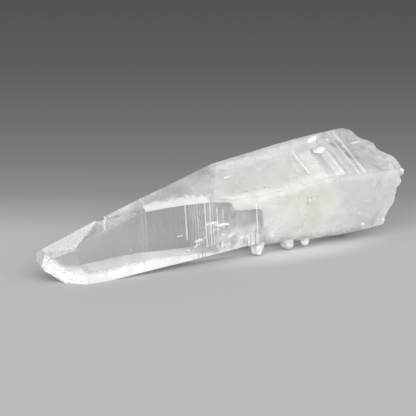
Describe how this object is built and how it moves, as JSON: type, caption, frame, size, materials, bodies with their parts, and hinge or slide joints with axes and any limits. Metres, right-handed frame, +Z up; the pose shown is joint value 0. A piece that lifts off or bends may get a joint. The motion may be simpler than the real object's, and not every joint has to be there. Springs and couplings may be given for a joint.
{
  "type": "quartz crystal point",
  "caption": "Tapered clear-to-milky quartz crystal with a short faceted point, stepped side faces, stubby side growths and a broken root, lying on its flat underside.",
  "frame": {"origin": "middle of the crystal's outline, on the surface that it rests on", "axes": "+X along the crystal from its point to its broken root, -Y out of the wide striated front face, +Z up"},
  "size_m": [0.1343, 0.0336, 0.0365],
  "materials": {
    "quartz": "glossy natural crystal faces, clear at the point and milky towards the root"
  },
  "bodies": {
    "root": {"quartz_crystal": "quartz"}
  },
  "joints": []
}
